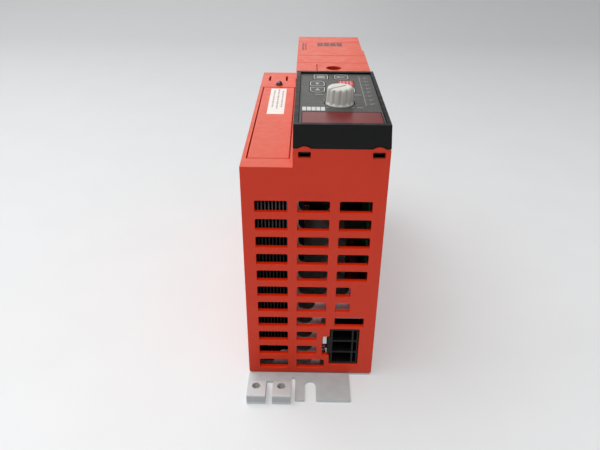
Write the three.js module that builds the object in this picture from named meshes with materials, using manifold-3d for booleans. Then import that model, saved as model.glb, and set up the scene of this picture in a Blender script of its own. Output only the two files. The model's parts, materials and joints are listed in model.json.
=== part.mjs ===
// Compact panel-mount motor drive, lying on its mounting plate.
// Millimetres. X runs across the width, Y along the length, +Z out of the mounting wall.
// The origin is the centre of the mounting plane. Lengths called u run from the near end face.

import * as THREE from 'three';
import { mergeVertices } from 'three/addons/utils/BufferGeometryUtils.js';
import Module from 'manifold-3d';

const wasm = await Module();
wasm.setup();

// ---------------------------------------------------------------- driving dimensions

const WIDTH = 80;
const SHELL_LENGTH = 237;
const NEAR_FLANGE = 26.3;
const TAB_REACH = 23.8;
const FAR_FLANGE = 10.2;
const GAP = 0.3;
const PLATE = 1.7;
const PLATE_BED = 1.4;
const WALL = 2.5;
const NEAR_WALL = 3.2;
const SEAM_U = 146.5;

const HALF = WIDTH / 2;
const TOTAL_LENGTH = NEAR_FLANGE + SHELL_LENGTH + FAR_FLANGE;
const NEAR_Y = NEAR_FLANGE - TOTAL_LENGTH / 2;
const SHELL_Z = PLATE + GAP;
const STEP_X = -11.6;
const BLOCK_X = -12.3;
const SEAM = 0.5;

// Heights of the stepped front.
const LEFT_TOP = 149;
const SEAT_TOP = 159.6;
const BLOCK_TOP = 167.5;
const LOW_TOP = 120.4;

// Keypad module that plugs onto the seat.
const PAD_BASE = SEAT_TOP + GAP;
const PAD_TOP = 173;
const PAD_X0 = STEP_X + 0.1;
const PAD_LENGTH = 103.5;
const RIM = 2.8;
const NEAR_RIM = 2.9;
const MEMBRANE_TOP = 171.8;
const MEMBRANE = 1;
const LEDGE_TOP = MEMBRANE_TOP - MEMBRANE - GAP;
const LEDGE = 1.5;
const KEY_TRAVEL = 0.4;

// Knob and its potentiometer.
const KNOB_X = 14.2;
const KNOB_U = 39.4;
const KNOB_BASE_R = 8.1;
const KNOB_TOP_R = 7.3;
const KNOB_TOP = 181.3;
const SHAFT_TOP = 178;
const KNOB_FLUTES = 12;
const POINTER_ANGLE = 219;
const SHAFT_R = 3;

// Ventilation grid in the near end face.
const VENT_ROWS = 11;
const VENT_TOP = 128.8;
const VENT_PITCH = 11.58;
const VENT_HEIGHT = 7.2;
const VENT_CORNER_R = 0.8;

// Plug-in headers for the mains and the motor.
const HEADER_X0 = 12.5;
const HEADER_X1 = 29.9;
const HEADER_Z0 = 9.7;
const HEADER_Z1 = 38.1;
const HEADER_CLEAR = 0.6;
const HEADER_DEPTH = 13;
const HEADER_INSET = 0.8;
const PIN_INSET = 7.6;
const POLES = 3;

// Cooling duct on the left side.
const FIN_COUNT = 11;
const FIN_PITCH = 2.1;
const FIN = 0.9;
const FIN_X0 = -36.6;
const SINK_TOP = 130;
const SINK_WALL_X = STEP_X + 0.2;
const FAN_SIZE = 40;
const FAN_DEPTH = 20;
const FAN_X0 = -37.2;
const FAN_Z0 = 42;
const FAN_U0 = 209;

// ---------------------------------------------------------------- solid tools

function toSolid(geometry) {
  const bare = geometry.clone();
  bare.deleteAttribute('normal');
  bare.deleteAttribute('uv');
  const merged = mergeVertices(bare, 1e-4);
  return new wasm.Manifold(new wasm.Mesh({
    numProp: 3,
    vertProperties: new Float32Array(merged.attributes.position.array),
    triVerts: new Uint32Array(merged.index.array),
  }));
}

function toGeometry(solid) {
  const mesh = solid.getMesh();
  const geometry = new THREE.BufferGeometry();
  geometry.setAttribute('position', new THREE.BufferAttribute(mesh.vertProperties, 3));
  geometry.setIndex(new THREE.BufferAttribute(mesh.triVerts, 1));
  return geometry;
}

function cut(body, ...tools) {
  return toGeometry(tools.reduce((solid, tool) => solid.subtract(toSolid(tool)), toSolid(body)));
}

function join(...parts) {
  return toGeometry(parts.slice(1).reduce((solid, part) => solid.add(toSolid(part)), toSolid(parts[0])));
}

// Box between two corners, with u measured from the near end face.
function slab(x0, x1, u0, u1, z0, z1) {
  const box = new THREE.BoxGeometry(x1 - x0, u1 - u0, z1 - z0);
  return box.translate((x0 + x1) / 2, NEAR_Y + (u0 + u1) / 2, (z0 + z1) / 2);
}

function outline(points) {
  return new THREE.Shape(points.map(([a, b]) => new THREE.Vector2(a, b)));
}

// Rounded rectangle between two corners.
function roundedOutline(a0, a1, b0, b1, radius) {
  const shape = new THREE.Shape();
  shape.absarc(a1 - radius, b0 + radius, radius, -Math.PI / 2, 0, false);
  shape.absarc(a1 - radius, b1 - radius, radius, 0, Math.PI / 2, false);
  shape.absarc(a0 + radius, b1 - radius, radius, Math.PI / 2, Math.PI, false);
  shape.absarc(a0 + radius, b0 + radius, radius, Math.PI, 1.5 * Math.PI, false);
  return shape;
}

// Straight prism over a shape, whose curves become chords without doubled corners.
function extrude(shape, depth, curveSegments = 4) {
  const points = shape.getPoints(curveSegments);
  const corners = points.filter((p, i) => p.distanceTo(points[(i + 1) % points.length]) > 1e-3);
  return new THREE.ExtrudeGeometry(new THREE.Shape(corners), { depth, bevelEnabled: false });
}

// Shape drawn in (x, u), raised from z0 to z1.
function prismZ(shape, z0, z1, curveSegments) {
  return extrude(shape, z1 - z0, curveSegments).translate(0, NEAR_Y, z0);
}

// Shape drawn in (x, z), running from u0 to u1.
function prismY(shape, u0, u1, curveSegments) {
  return extrude(shape, u1 - u0, curveSegments).rotateX(Math.PI / 2).translate(0, NEAR_Y + u1, 0);
}

// Shape drawn in (u, z), running from x0 to x1.
function prismX(shape, x0, x1, curveSegments) {
  const turn = new THREE.Matrix4().set(0, 0, 1, x0, 1, 0, 0, NEAR_Y, 0, 1, 0, 0, 0, 0, 0, 1);
  return extrude(shape, x1 - x0, curveSegments).applyMatrix4(turn);
}

// Upright cylinder or cone frustum.
function post(x, u, z0, z1, radius, topRadius = radius, segments = 24) {
  const cylinder = new THREE.CylinderGeometry(topRadius, radius, z1 - z0, segments);
  return cylinder.rotateX(Math.PI / 2).translate(x, NEAR_Y + u, (z0 + z1) / 2);
}

// Turned piece: profile of [radius, distance along the axis] pairs, axis along X from x0.
function turnedX(profile, x0, u, z, segments = 22) {
  const lathe = new THREE.LatheGeometry(profile.map(([r, d]) => new THREE.Vector2(r, d)), segments);
  return lathe.rotateZ(-Math.PI / 2).translate(x0, NEAR_Y + u, z);
}

// ---------------------------------------------------------------- assembly

const drive = new THREE.Group();

function add(name, geometry, color, roughness = 0.5, metalness = 0) {
  const material = new THREE.MeshStandardMaterial({ color, roughness, metalness });
  const mesh = new THREE.Mesh(geometry, material);
  mesh.name = name;
  drive.add(mesh);
}

const ORANGE = 0xd2452c;
const BLACK = 0x1c1c1d;
const DARK_GREY = 0x4b4b4c;
const MEMBRANE_GREY = 0x6c6c69;
const ZINC = 0xa5a6a6;
const ALUMINIUM = 0xb4b4b2;
const TIN = 0xc9c6bd;
const BOARD_GREEN = 0x1f4a33;

// ---------------------------------------------------------------- mounting plate

// The bed under the housing is pressed a little lower than the flanges beside it.
const FLANGE_CLEAR = 0.2;

// Earth terminal block, a raised lug with a softened front edge.
function earthBlock(x0, x1) {
  const side = new THREE.Shape();
  side.moveTo(-NEAR_FLANGE + 0.6, 0);
  side.lineTo(-12.6, 0);
  side.lineTo(-12.6, 6);
  side.lineTo(-13.2, 6.5);
  side.lineTo(-24.9, 7);
  side.quadraticCurveTo(-NEAR_FLANGE, 7, -NEAR_FLANGE, 5);
  side.lineTo(-NEAR_FLANGE, 0.6);
  return prismX(side, x0, x1);
}

// Near flange, drawn anticlockwise from the right: wide tab, open screw slot, finger, lug roots.
function nearFlange() {
  const tip = -TAB_REACH;
  const shape = new THREE.Shape();
  shape.moveTo(25.4, -FLANGE_CLEAR);
  shape.lineTo(-HALF, -FLANGE_CLEAR);
  shape.lineTo(-HALF, -13);
  shape.lineTo(-27.9, -13);
  shape.lineTo(-27.9, -8.2);
  shape.lineTo(-23.7, -8.2);
  shape.lineTo(-23.7, -13);
  shape.lineTo(-12.1, -13);
  shape.lineTo(-12.1, -5.9);
  shape.absarc(-10.85, -5.9, 1.25, Math.PI, 0, true);
  shape.lineTo(-9.6, tip + 1);
  shape.absarc(-8.6, tip + 1, 1, Math.PI, 1.5 * Math.PI, false);
  shape.absarc(-4.45, tip + 1, 1, 1.5 * Math.PI, 2 * Math.PI, false);
  shape.absarc(0.05, -10.8, 3.5, Math.PI, 0, true);
  shape.absarc(4.6, tip + 1, 1, Math.PI, 1.5 * Math.PI, false);
  shape.absarc(24.4, tip + 1, 1, 1.5 * Math.PI, 2 * Math.PI, false);
  return prismZ(shape, 0, PLATE);
}

function farFlange() {
  const end = SHELL_LENGTH + FAR_FLANGE;
  const shape = new THREE.Shape();
  shape.moveTo(-HALF, SHELL_LENGTH + FLANGE_CLEAR);
  shape.lineTo(24.8, SHELL_LENGTH + FLANGE_CLEAR);
  shape.absarc(23.8, end - 1, 1, 0, Math.PI / 2, false);
  shape.lineTo(3.6, end);
  shape.absarc(0.05, end - 5, 3.55, 0, -Math.PI, true);
  shape.lineTo(-3.5, end);
  shape.absarc(-HALF + 1, end - 1, 1, Math.PI / 2, Math.PI, false);
  return prismZ(shape, 0, PLATE);
}

const EARTH_BLOCKS = [[-39.4, -27.9], [-23.7, -12.1]];
const EARTH_HOLE_U = -17;
const bed = slab(-39.4, 39.4, 0.5, SHELL_LENGTH - 0.5, 0, PLATE_BED);
const tongue = slab(-39.4, 24, -1, SHELL_LENGTH + 1, 0, PLATE_BED);
const lugs = EARTH_BLOCKS.map(([x0, x1]) => earthBlock(x0, x1));
const plateBlank = join(bed, tongue, nearFlange(), farFlange(), ...lugs);
const earthHoles = EARTH_BLOCKS.flatMap(([x0, x1]) => {
  const x = (x0 + x1) / 2 - 0.3;
  return [post(x, EARTH_HOLE_U, -1, 8, 2.1, 2.1, 16), post(x, EARTH_HOLE_U, 5.9, 7.4, 2.1, 3.3, 16)];
});
add('mounting_plate', cut(plateBlank, ...earthHoles), ZINC, 0.45, 0.8);

// ---------------------------------------------------------------- heat sink and inner sheet

function heatSinkOutline() {
  const floor = SHELL_Z + 3;
  const points = [[SINK_WALL_X, SHELL_Z], [SINK_WALL_X, SINK_TOP + 4], [SINK_WALL_X - 2.2, SINK_TOP + 4]];
  points.push([SINK_WALL_X - 2.2, floor]);
  for (let i = FIN_COUNT - 1; i >= 0; i -= 1) {
    const x = FIN_X0 + i * FIN_PITCH;
    points.push([x + FIN, floor], [x + FIN, SINK_TOP], [x, SINK_TOP]);
    if (i > 0) points.push([x, floor]);
  }
  points.push([FIN_X0, SHELL_Z]);
  return outline(points);
}
add('heat_sink', prismY(heatSinkOutline(), 11, 185), ALUMINIUM, 0.4, 0.9);

// Steel sheet close behind the near face, pierced with round-ended slots behind the vents.
const SHEET_U = 5.6;
const SHEET = 1;

function sheetSpans(row) {
  const middle = row < 6 ? [[-8.5, 9.9]] : row === 6 ? [[-8.5, 2.2]] : [[-10, 1.2]];
  const right = row < 5 ? [[12.4, 35.4]] : row === 5 ? [[12.6, 23]] : [];
  return row === 7 ? [...middle, [3, 10.2], ...right] : [...middle, ...right];
}

function innerSheet() {
  const shape = outline([
    [-11, 4], [6.6, 4], [6.6, 43], [36.6, 43], [36.6, 136], [-11, 136],
  ]);
  const cutters = [];
  for (let row = 0; row < VENT_ROWS; row += 1) {
    const middle = VENT_TOP - VENT_HEIGHT / 2 - row * VENT_PITCH - (row < 7 ? 1 : 0.4);
    for (const [x0, x1] of sheetSpans(row)) {
      if (x0 < 2 || middle > 48) {
        const slot = roundedOutline(x0, x1, middle - 5.2, middle + 5.2, x0 > 12.5 || x0 < 12 ? 5.1 : 1);
        cutters.push(prismY(slot, SHEET_U - 1, SHEET_U + SHEET + 1, 2));
      }
    }
  }
  return cut(prismY(shape, SHEET_U, SHEET_U + SHEET), ...cutters);
}
add('inner_sheet', innerSheet(), 0x9a9a9c, 0.4, 0.8);

// ---------------------------------------------------------------- front shell

const POCKET = { x0: -37.5, x1: -13.3, u0: 11.9, floor: LEFT_TOP - 2.4 };
const LATCH_X = [-5.35, 33.9];
const LATCH_SLOT = { half: 3.3, z0: 154.2, z1: 157.9 };
const SCREW_X = 14.4;
const SCREW_U = 132.5;
const SOCKET_X = 14;
const SOCKET_U = 88;

function ventSpans(row) {
  const spans = [[-32.8, -14.5]];
  spans.push([-9, row < 8 ? 9 : row < 10 ? 3.6 : 8.7]);
  if (row < 8) spans.push([14.5, row === 5 || row === 6 ? 23.3 : 32.6]);
  return spans;
}

function nearVents() {
  const cutters = [];
  for (let row = 0; row < VENT_ROWS; row += 1) {
    const top = VENT_TOP - row * VENT_PITCH;
    for (const [x0, x1] of ventSpans(row)) {
      const opening = roundedOutline(x0, x1, top - VENT_HEIGHT, top, VENT_CORNER_R);
      cutters.push(prismY(opening, -1, NEAR_WALL + 1, 3));
    }
  }
  return cutters;
}

// Round-topped raised pad on the seat edge, above each latch slot.
function seatPad(x) {
  const shape = new THREE.Shape();
  shape.moveTo(x - 3.6, SEAT_TOP - 1);
  shape.lineTo(x + 3.6, SEAT_TOP - 1);
  shape.lineTo(x + 3.6, SEAT_TOP);
  shape.quadraticCurveTo(x, SEAT_TOP + 2.6, x - 3.6, SEAT_TOP);
  return prismY(shape, 0, 2.2);
}

function mainShell() {
  const left = slab(-HALF, STEP_X + 1, 0, SEAM_U, SHELL_Z, LEFT_TOP);
  const seat = slab(STEP_X, HALF, 0, SEAM_U, SHELL_Z, SEAT_TOP);
  const block = slab(BLOCK_X, HALF, PAD_LENGTH + GAP, SEAM_U, SHELL_Z, BLOCK_TOP);
  const body = join(left, seat, block, ...LATCH_X.map(seatPad));
  const inner = HALF - WALL;
  const beyond = SEAM_U + 1;
  const cavities = [
    slab(-inner, inner, NEAR_WALL, beyond, 0, POCKET.floor - 2),
    slab(STEP_X + WALL, inner, NEAR_WALL, beyond, 0, SEAT_TOP - WALL),
    slab(BLOCK_X + WALL, inner, PAD_LENGTH + GAP + WALL, beyond, 0, BLOCK_TOP - WALL),
  ];
  const pocket = slab(POCKET.x0, POCKET.x1, POCKET.u0, beyond, POCKET.floor, LEFT_TOP + 1);
  const mainsOpening = slab(
    HEADER_X0 - HEADER_CLEAR, HEADER_X1 + HEADER_CLEAR, -1, 5,
    HEADER_Z0 - HEADER_CLEAR, HEADER_Z1 + HEADER_CLEAR,
  );
  const mainsNotch = slab(7.2, HEADER_X0, -1, 5, 16.5, 32.4);
  const latchSlots = LATCH_X.flatMap((x) => [
    slab(x - LATCH_SLOT.half, x + LATCH_SLOT.half, -1, NEAR_WALL + 1, LATCH_SLOT.z0, LATCH_SLOT.z1),
    slab(x - LATCH_SLOT.half, x + LATCH_SLOT.half, NEAR_WALL, 10, SEAT_TOP - WALL - 1, SEAT_TOP + 1),
  ]);
  const socketOpening = slab(SOCKET_X - 9, SOCKET_X + 9, SOCKET_U - 6, SOCKET_U + 6, 150, SEAT_TOP + 1);
  const screwHole = post(SCREW_X, SCREW_U, 160, BLOCK_TOP + 1, 5.3);
  const slit = slab(2.2, 2.7, 125, 143, BLOCK_TOP - 0.7, BLOCK_TOP + 1);
  return cut(
    body, ...cavities, pocket, mainsOpening, mainsNotch, ...latchSlots,
    socketOpening, screwHole, slit, ...nearVents(),
  );
}
add('main_shell', mainShell(), ORANGE, 0.42);

// ---------------------------------------------------------------- extension shell

const SHOULDER_U = 188;
const NARROW_U = 187;
const NARROW_X = 39;
const BAY_U0 = 169.2;
const BAY_U1 = 216.2;
const BAY_FLOOR = 150;
const LENS_X = -25.8;
const LENS_R = 2.5;
const LENS_RISE = 3.1;
const LENS_U = 153.2;

function extensionShell() {
  const u0 = SEAM_U + SEAM;
  const u1 = SHELL_LENGTH;
  const body = join(
    slab(-HALF, STEP_X + 1, u0, SHOULDER_U, SHELL_Z, LEFT_TOP),
    slab(-HALF, STEP_X + 1, u0, u1, SHELL_Z, LOW_TOP),
    slab(BLOCK_X, HALF, u0, NARROW_U, SHELL_Z, BLOCK_TOP),
    slab(BLOCK_X, NARROW_X, u0, u1, SHELL_Z, BLOCK_TOP),
  );
  const inner = HALF - WALL;
  const before = u0 - 1;
  const after = u1 - WALL;
  const cavities = [
    slab(-inner, 0, before, SHOULDER_U - WALL, 0, LEFT_TOP - WALL),
    slab(-inner, 0, before, after, 0, LOW_TOP - WALL),
    slab(-1, NARROW_X - WALL, before, after, 0, BAY_FLOOR - WALL),
    slab(BLOCK_X + WALL, NARROW_X - WALL, before, after, 0, BAY_FLOOR - WALL),
    slab(BLOCK_X + WALL, NARROW_X - WALL, before, BAY_U0 - WALL, 0, BLOCK_TOP - WALL),
  ];
  const bay = slab(-20, HALF + 1, BAY_U0, BAY_U1, BAY_FLOOR, BLOCK_TOP + 1);
  const bayOpening = slab(-7, 34, 175, 214, BAY_FLOOR - 4, BAY_FLOOR + 1);
  const motorOpening = slab(
    HEADER_X0 - HEADER_CLEAR, HEADER_X1 + HEADER_CLEAR, u1 - 5, u1 + 1,
    HEADER_Z0 - HEADER_CLEAR, HEADER_Z1 + HEADER_CLEAR,
  );
  const motorNotch = slab(7.2, HEADER_X0, u1 - 5, u1 + 1, 16.5, 32.4);
  const cableExit = roundedOutline(-2, 30, 122, 138, 3);
  const lensHole = post(LENS_X, LENS_U, LEFT_TOP - 5, LEFT_TOP + 1, LENS_R + GAP, LENS_R + GAP, 20);
  const sightSlots = [-33.8, -20.6].map((x) => (
    slab(x - 0.7, x + 0.7, 164.4, 176.6, LEFT_TOP - 5, LEFT_TOP + 1)
  ));
  const grille = [];
  for (let row = 0; row < 6; row += 1) {
    const z = FAN_Z0 + 2.4 + row * 6.4;
    grille.push(slab(-34.5, 0, u1 - 5, u1 + 1, z, z + 3.2));
  }
  for (let row = 0; row < 8; row += 1) {
    const z = 46 + row * 9;
    grille.push(slab(8, 34, u1 - 5, u1 + 1, z, z + 4.5));
  }
  return cut(
    body, ...cavities, bay, bayOpening, motorOpening, motorNotch, prismY(cableExit, u1 - 5, u1 + 1),
    lensHole, ...sightSlots, ...grille,
  );
}
add('extension_shell', extensionShell(), ORANGE, 0.42);

// Lift-off cap over the signal terminals, following the shell's narrowed side.
function terminalCover() {
  const u0 = BAY_U0 + SEAM;
  const u1 = BAY_U1 - SEAM;
  const z0 = BAY_FLOOR + GAP;
  const body = join(
    slab(BLOCK_X, HALF, u0, NARROW_U, z0, BLOCK_TOP),
    slab(BLOCK_X, NARROW_X, u0, u1, z0, BLOCK_TOP),
  );
  const hollow = slab(BLOCK_X + WALL, NARROW_X - WALL, u0 + WALL, u1 - WALL, z0 - 1, BLOCK_TOP - WALL);
  return cut(body, hollow);
}
add('terminal_cover', terminalCover(), ORANGE, 0.42);

// ---------------------------------------------------------------- option cover, label, lens

const COVER = { x0: -36.9, x1: -13.9, u0: 12.6, u1: SEAM_U - 0.1 };
const LABEL = { x0: -31.1, x1: -19.7, u0: 85.5, u1: 143 };
const coverPlate = slab(COVER.x0, COVER.x1, COVER.u0, COVER.u1, POCKET.floor + GAP, LEFT_TOP - 0.1);
const labelSeat = slab(
  LABEL.x0 - GAP, LABEL.x1 + GAP, LABEL.u0 - GAP, LABEL.u1 + GAP, LEFT_TOP - 0.6, LEFT_TOP + 1,
);
add('option_cover', cut(coverPlate, labelSeat), ORANGE, 0.42);
add('blank_label', slab(LABEL.x0, LABEL.x1, LABEL.u0, LABEL.u1, LEFT_TOP - 0.3, LEFT_TOP), 0xe8e6e0, 0.6);

// Light pipe whose end stands proud of the shell as a low dome.
function statusLens() {
  const waist = LEFT_TOP + 0.9;
  const shoulder = LEFT_TOP + 2.2;
  return join(
    post(LENS_X, LENS_U, LEFT_TOP - 6, waist, LENS_R, LENS_R, 20),
    post(LENS_X, LENS_U, waist - 0.1, shoulder, LENS_R, LENS_R * 0.75, 20),
    post(LENS_X, LENS_U, shoulder - 0.1, LEFT_TOP + LENS_RISE, LENS_R * 0.75, LENS_R * 0.3, 20),
  );
}
add('status_lens', statusLens(), DARK_GREY, 0.2);

// ---------------------------------------------------------------- keypad module

const PAD_X1 = HALF;
const RIGHT_DRAFT = 0.8;
const LEFT_DRAFT = 0.2;
const FIELD = { x0: PAD_X0 + RIM, x1: PAD_X1 - RIM, u0: NEAR_RIM, u1: PAD_LENGTH - 3.1 };
const WINDOW = { x0: -6.9, x1: 35.9, u0: 4.4, u1: 23.4 };
const KNOB_CLEAR_R = KNOB_BASE_R + 0.7;

// Keys: centre x, centre u, rounding at the near end and at the far end.
const KEY_W = 9.6;
const KEY_L = 11.2;
const KEYS = {
  key_up: { x: 1.9, u: 77.9, near: 1, far: 4.2 },
  key_down: { x: 1.9, u: 64, near: 4.2, far: 1 },
  key_out: { x: 4.3, u: 92.6, near: 1.6, far: 1.6 },
  key_enter: { x: 17.6, u: 92.6, near: 3, far: 3 },
  key_stop: { x: 19.9, u: 78.4, near: 1.2, far: 1.2 },
  key_run: { x: 19.9, u: 64, near: 2.4, far: 2.4 },
};

function keyOutline(key, grow) {
  const x0 = key.x - KEY_W / 2 - grow;
  const x1 = key.x + KEY_W / 2 + grow;
  const u0 = key.u - KEY_L / 2 - grow;
  const u1 = key.u + KEY_L / 2 + grow;
  const shape = new THREE.Shape();
  shape.absarc(x1 - key.near, u0 + key.near, key.near, -Math.PI / 2, 0, false);
  shape.absarc(x1 - key.far, u1 - key.far, key.far, 0, Math.PI / 2, false);
  shape.absarc(x0 + key.far, u1 - key.far, key.far, Math.PI / 2, Math.PI, false);
  shape.absarc(x0 + key.near, u0 + key.near, key.near, Math.PI, 1.5 * Math.PI, false);
  return shape;
}

const keyCutters = (z0, z1) => Object.values(KEYS).map((key) => prismZ(keyOutline(key, GAP), z0, z1, 2));

function keypadFrame() {
  const section = outline([
    [PAD_X0, PAD_BASE], [PAD_X1, PAD_BASE], [PAD_X1 - RIGHT_DRAFT, PAD_TOP], [PAD_X0 + LEFT_DRAFT, PAD_TOP],
  ]);
  const body = prismY(section, 0, PAD_LENGTH);
  const recess = slab(FIELD.x0, FIELD.x1, FIELD.u0, FIELD.u1, LEDGE_TOP, PAD_TOP + 1);
  const hollow = slab(
    PAD_X0 + WALL, PAD_X1 - WALL, WALL, PAD_LENGTH - WALL, PAD_BASE - 1, LEDGE_TOP - LEDGE,
  );
  const display = slab(WINDOW.x0 + 1.5, WINDOW.x1 - 1.5, WINDOW.u0 + 1, WINDOW.u1 - 1, 160, PAD_TOP);
  const shaft = post(KNOB_X, KNOB_U, 160, PAD_TOP, SHAFT_R + 1.2);
  const arches = LATCH_X.map((x) => {
    const shape = new THREE.Shape();
    shape.moveTo(x - 4, PAD_BASE - 1);
    shape.lineTo(x + 4, PAD_BASE - 1);
    shape.lineTo(x + 4, PAD_BASE);
    shape.quadraticCurveTo(x, PAD_BASE + 3.2, x - 4, PAD_BASE);
    return prismY(shape, -1, WALL + 1);
  });
  return cut(body, recess, hollow, display, shaft, ...arches, ...keyCutters(160, PAD_TOP));
}
add('keypad_frame', keypadFrame(), 0x2c2c2d, 0.45);

function keypadMembrane() {
  const z0 = MEMBRANE_TOP - MEMBRANE;
  const sheet = slab(
    FIELD.x0 + 0.2, FIELD.x1 - 0.2, FIELD.u0 + 0.2, FIELD.u1 - 0.2, z0, MEMBRANE_TOP,
  );
  const window = slab(
    WINDOW.x0 - GAP, WINDOW.x1 + GAP, WINDOW.u0 - GAP, WINDOW.u1 + GAP, z0 - 1, MEMBRANE_TOP + 1,
  );
  const knobHole = post(KNOB_X, KNOB_U, z0 - 1, MEMBRANE_TOP + 1, KNOB_CLEAR_R, KNOB_CLEAR_R, 32);
  return cut(sheet, window, knobHole, ...keyCutters(z0 - 1, MEMBRANE_TOP + 1));
}
add('keypad_membrane', keypadMembrane(), MEMBRANE_GREY, 0.55);

const windowPane = slab(
  WINDOW.x0, WINDOW.x1, WINDOW.u0, WINDOW.u1, MEMBRANE_TOP - MEMBRANE, MEMBRANE_TOP - 0.1,
);
add('display_window', windowPane, 0x6e2f2f, 0.2);

for (const [name, key] of Object.entries(KEYS)) {
  const cap = prismZ(keyOutline(key, 0), MEMBRANE_TOP - MEMBRANE, MEMBRANE_TOP + 0.1, 2);
  const stem = post(key.x, key.u, 166.2, MEMBRANE_TOP - 0.5, 1.6, 1.6, 12);
  add(name, join(cap, stem), name === 'key_stop' ? 0xb33a3a : MEMBRANE_GREY, 0.55);
}

// Board inside the keypad, with a dome switch under each key.
const PAD_BOARD_Z = 162.8;
const PAD_BOARD = 1.6;

function keypadBoard() {
  const top = PAD_BOARD_Z + PAD_BOARD;
  const board = slab(PAD_X0 + WALL + 0.6, PAD_X1 - WALL - 0.6, 9.8, 99.8, PAD_BOARD_Z, top);
  const domes = Object.values(KEYS).map((key) => (
    post(key.x, key.u, top - 0.5, 166.2 - KEY_TRAVEL - 0.2, 3, 2.2, 12)
  ));
  return join(board, ...domes);
}
add('keypad_board', keypadBoard(), BOARD_GREEN, 0.5);
add('display_module', slab(-4, 33, 10.2, 22, PAD_BOARD_Z + PAD_BOARD + GAP, 170.2), 0x221414, 0.4);

function keypadBack() {
  const inset = WALL + GAP;
  const plate = slab(PAD_X0 + inset, PAD_X1 - inset, inset, PAD_LENGTH - inset, 160.2, 161.6);
  const plugOpening = slab(SOCKET_X - 8, SOCKET_X + 8, SOCKET_U - 4, SOCKET_U + 4, 159, 163);
  const latchNotches = LATCH_X.map((x) => slab(x - 4.4, x + 4.4, 2, 10, 159, 163));
  return cut(plate, plugOpening, ...latchNotches);
}
add('keypad_back', keypadBack(), BLACK, 0.5);
add('keypad_plug', slab(SOCKET_X - 6, SOCKET_X + 6, SOCKET_U - 2, SOCKET_U + 2, 152, 162.5), BLACK, 0.5);

// Spring tongues that hook the keypad to the shell, seen through the two latch slots.
const LATCH_NAMES = ['keypad_latch_left', 'keypad_latch_right'];
LATCH_X.forEach((x, i) => {
  const tongue = slab(x - 2.7, x + 2.7, 3.8, 6.2, 155.5, 156.9);
  const arm = slab(x - 2.7, x + 2.7, 5, 6.2, 155.5, 162.2);
  add(LATCH_NAMES[i], join(tongue, arm), DARK_GREY, 0.5);
});

// ---------------------------------------------------------------- knob and potentiometer

function knobOutline() {
  const steps = KNOB_FLUTES * 6;
  const points = [];
  for (let i = 0; i < steps; i += 1) {
    const angle = (i / steps) * 2 * Math.PI;
    const wave = Math.max(0, Math.cos(angle * KNOB_FLUTES));
    const radius = KNOB_TOP_R + 0.35 - 0.8 * wave;
    points.push([KNOB_X + radius * Math.cos(angle), KNOB_U + radius * Math.sin(angle)]);
  }
  return outline(points);
}

function knob() {
  const flange = post(KNOB_X, KNOB_U, 171, 172.4, KNOB_BASE_R, KNOB_BASE_R - 0.3, 48);
  const grip = prismZ(knobOutline(), 172, KNOB_TOP - 1.2);
  const crown = post(KNOB_X, KNOB_U, KNOB_TOP - 1.8, KNOB_TOP, KNOB_TOP_R, KNOB_TOP_R - 1, 48);
  const bore = post(KNOB_X, KNOB_U, 170, SHAFT_TOP + GAP, SHAFT_R + GAP, SHAFT_R + GAP, 20);
  const groove = new THREE.BoxGeometry(KNOB_TOP_R + 7, 1.4, 1.8);
  groove.translate(KNOB_TOP_R / 2 - 0.8, 0, 0).rotateZ(THREE.MathUtils.degToRad(POINTER_ANGLE));
  groove.translate(KNOB_X, NEAR_Y + KNOB_U, KNOB_TOP);
  return cut(join(flange, grip, crown), bore, groove);
}
add('knob', knob(), 0xd8d6cd, 0.5);
add('pot_shaft', post(KNOB_X, KNOB_U, 165, SHAFT_TOP, SHAFT_R, SHAFT_R, 20), TIN, 0.4, 0.8);

const POT_HALF = 6.5;
const potCan = slab(
  KNOB_X - POT_HALF, KNOB_X + POT_HALF, KNOB_U - POT_HALF, KNOB_U + POT_HALF,
  PAD_BOARD_Z + PAD_BOARD + GAP, 168.6,
);
const potBore = post(KNOB_X, KNOB_U, 160, 170, SHAFT_R + GAP, SHAFT_R + GAP, 20);
add('pot_body', cut(potCan, potBore), 0x3a4a5a, 0.5);

// ---------------------------------------------------------------- control electronics

const CARRIER_Z = 139;
const boardHole = post(SCREW_X, SCREW_U, 144, 148, 2.3, 2.3, 16);
add('board_carrier', slab(-8.6, 36, 8, 228, CARRIER_Z, CARRIER_Z + 2), BLACK, 0.6);
add('control_board', cut(slab(-8.6, 36.6, 8, 146, 145.2, 146.8), boardHole), BOARD_GREEN, 0.5);

const socketBody = slab(SOCKET_X - 8, SOCKET_X + 8, SOCKET_U - 4, SOCKET_U + 4, 147.1, 157.4);
const socketMouth = slab(SOCKET_X - 6.4, SOCKET_X + 6.4, SOCKET_U - 2.4, SOCKET_U + 2.4, 150, 160);
add('keypad_socket', cut(socketBody, socketMouth), BLACK, 0.5);

function housingScrew() {
  const head = post(SCREW_X, SCREW_U, 147.1, 151, 3.5, 3.5, 24);
  const shank = post(SCREW_X, SCREW_U, 141.3, 147.6, 1.9, 1.9, 16);
  const recess = [0, 90].map((turn) => {
    const bar = new THREE.BoxGeometry(4.2, 1, 3);
    return bar.rotateZ(THREE.MathUtils.degToRad(turn)).translate(SCREW_X, NEAR_Y + SCREW_U, 151);
  });
  return cut(join(head, shank), ...recess);
}
add('housing_screw', housingScrew(), TIN, 0.35, 0.9);

add('terminal_board', slab(-8, 35, 154, 226, 141.3, 142.9), BOARD_GREEN, 0.5);

// Signal terminal strip with a row of wire entries.
function signalTerminal() {
  const body = slab(-5, 32, 178, 192, 143.2, 158);
  const entries = [];
  for (let i = 0; i < 9; i += 1) {
    const x = -3.2 + i * 4;
    entries.push(slab(x, x + 2.6, 180, 184, 150, 159));
  }
  return cut(body, ...entries);
}
add('signal_terminal', signalTerminal(), 0x2b6b4a, 0.5);
add('setting_switches', slab(2, 18, 198, 205, 143.2, 148), 0x9c2f2a, 0.5);

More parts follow.
